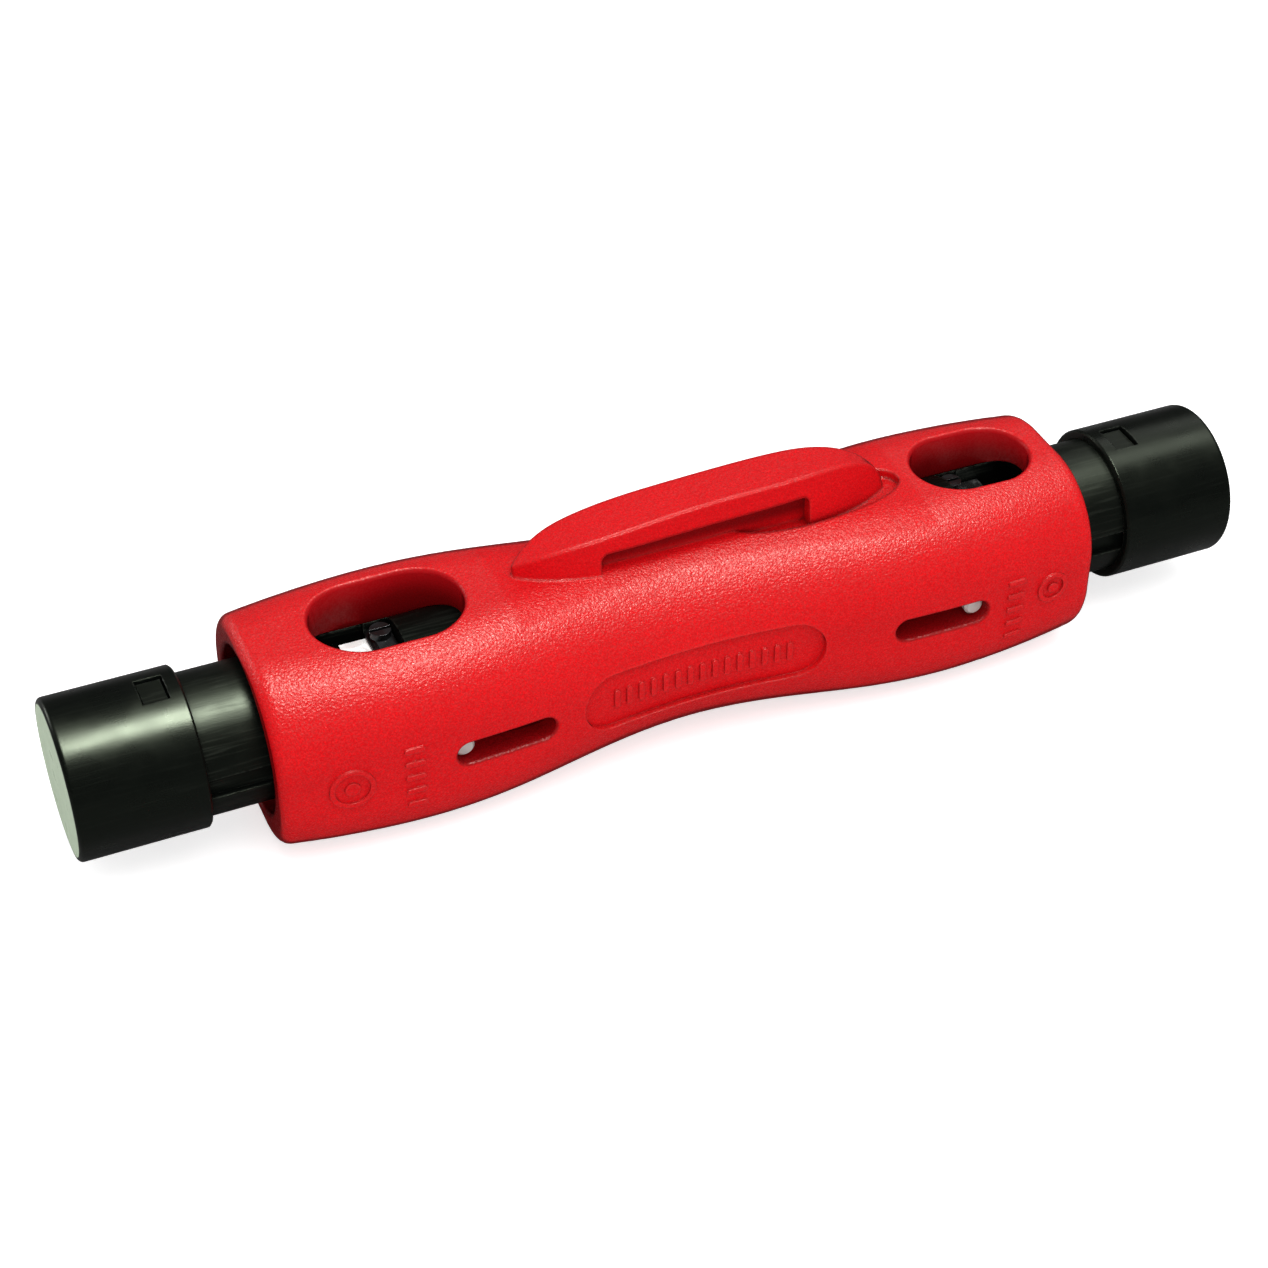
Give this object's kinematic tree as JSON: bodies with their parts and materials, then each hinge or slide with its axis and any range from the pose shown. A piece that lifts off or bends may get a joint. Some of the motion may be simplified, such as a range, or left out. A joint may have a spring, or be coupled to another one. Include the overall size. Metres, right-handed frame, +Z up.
{
  "type": "double-ended coaxial cable stripper",
  "caption": "Waisted hand tool for stripping coaxial cable: spring plunger with twin blades at each end, oval cable windows, side slots with cross pins, thumb rib.",
  "frame": {"origin": "middle of the tool on the plungers' axis, inside the waist", "axes": "+X along the tool towards the small-cable end, +Z up through the cable windows on the thumb rib's side, -Y towards the side with the label pocket seen in the picture"},
  "size_m": [0.15, 0.029, 0.0308],
  "materials": {
    "red_body": "fine spark-eroded moulding texture, satin",
    "black_plunger": "satin moulded nylon",
    "black_cap": "semi-gloss moulded nylon",
    "steel_pin": "ground dowel pin",
    "spring_steel": "drawn wire",
    "grey_nylon": "moulded, matt",
    "blade_steel": "ground and honed",
    "clamp_steel": "stamped, black oxide",
    "screw_steel": "black oxide"
  },
  "bodies": {
    "body": {"body": "red_body", "large_return_spring": "spring_steel", "small_return_spring": "spring_steel"},
    "large_slider": {"large_plunger": "black_plunger", "large_end_cap": "black_cap", "large_retaining_pin": "steel_pin", "large_blade_carrier": "grey_nylon", "large_jacket_blade": "blade_steel", "large_blade_spacer": "grey_nylon", "large_core_blade": "blade_steel", "large_clamp_plate": "clamp_steel", "large_clamp_screws": "screw_steel"},
    "small_slider": {"small_plunger": "black_plunger", "small_end_cap": "black_cap", "small_retaining_pin": "steel_pin", "small_blade_carrier": "grey_nylon", "small_jacket_blade": "blade_steel", "small_blade_spacer": "grey_nylon", "small_core_blade": "blade_steel", "small_clamp_plate": "clamp_steel", "small_clamp_screws": "screw_steel"}
  },
  "joints": [
    {"name": "large_press", "type": "slide", "parent": "body", "child": "large_slider", "axis": [1, 0, 0], "range_m": [0, 0.0098], "stiffness_N_per_m": 3400, "springref_m": -0.003, "deforming": ["large_return_spring"]},
    {"name": "small_press", "type": "slide", "parent": "body", "child": "small_slider", "axis": [-1, 0, 0], "range_m": [0, 0.0098], "stiffness_N_per_m": 3400, "springref_m": -0.003, "deforming": ["small_return_spring"]}
  ]
}
